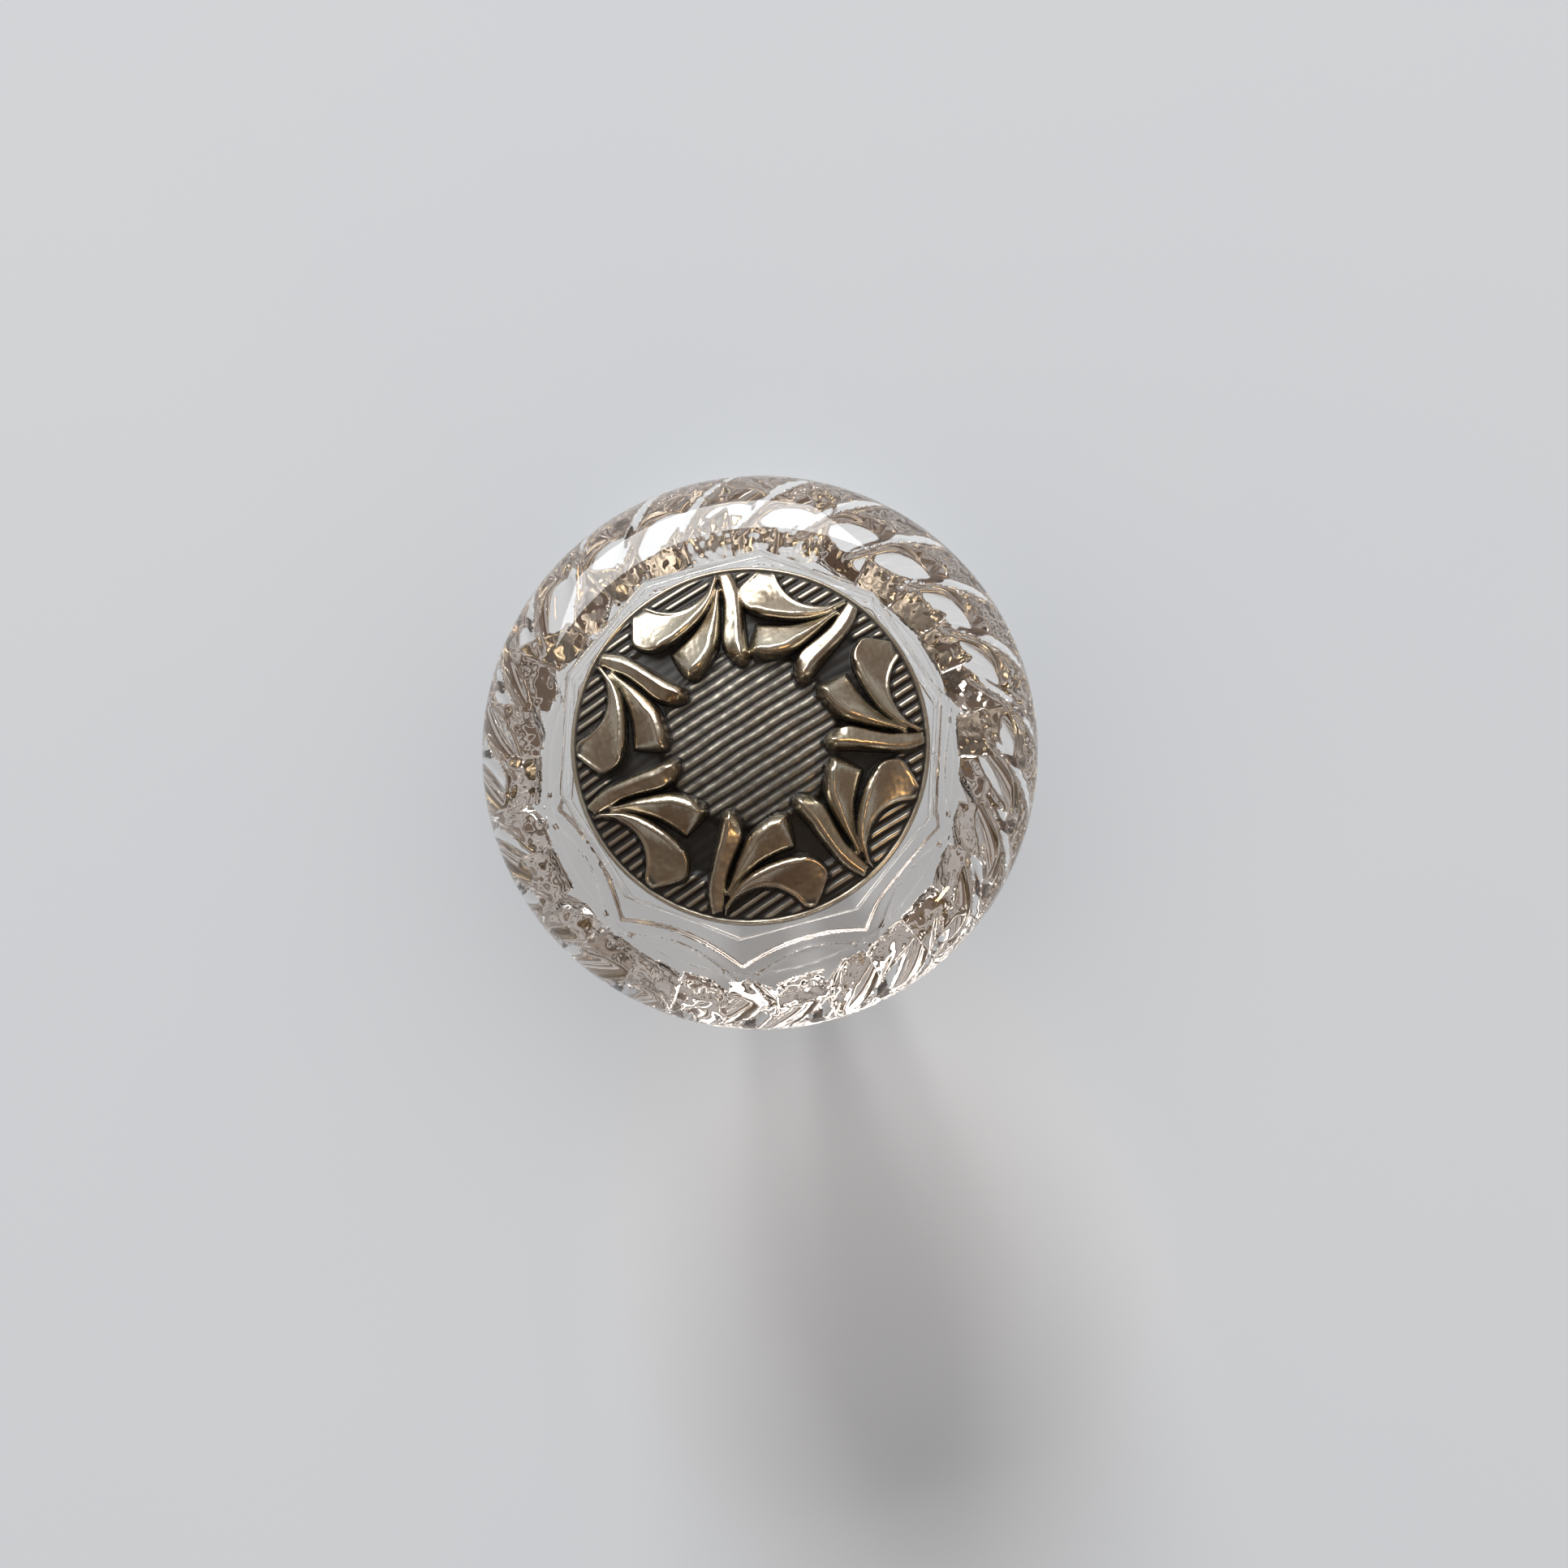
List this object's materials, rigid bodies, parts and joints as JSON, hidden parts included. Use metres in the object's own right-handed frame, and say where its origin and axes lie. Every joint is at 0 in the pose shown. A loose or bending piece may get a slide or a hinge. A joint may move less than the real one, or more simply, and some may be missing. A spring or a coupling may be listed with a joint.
{
  "type": "sew on button",
  "caption": "Round shank button of clear pressed glass with a rope border and small facets moulded on its back, a domed stamped metal medallion in its front pocket and a wire sewing loop behind.",
  "frame": {"origin": "on the button's axis, at the level of the shank loop's lowest point, where it meets the cloth", "axes": "+Z along the button's axis, out of its face; +X along the width of the shank loop; +Y completes the right-handed set"},
  "size_m": [0.023, 0.023, 0.0125],
  "materials": {
    "glass": "fire-polished pressed glass",
    "antiqued_silver": "antiqued silver plate, dark in the recesses",
    "backing_sheet": "plain sheet",
    "cement": "set adhesive",
    "shank_brass": "dull, tarnished",
    "shank_wire": "drawn wire, dull"
  },
  "bodies": {
    "root": {"glass_body": "glass", "medallion_face": "antiqued_silver", "medallion_backing": "backing_sheet", "cement_bed": "cement", "shank_plate": "shank_brass", "shank_loop": "shank_wire"}
  },
  "joints": []
}
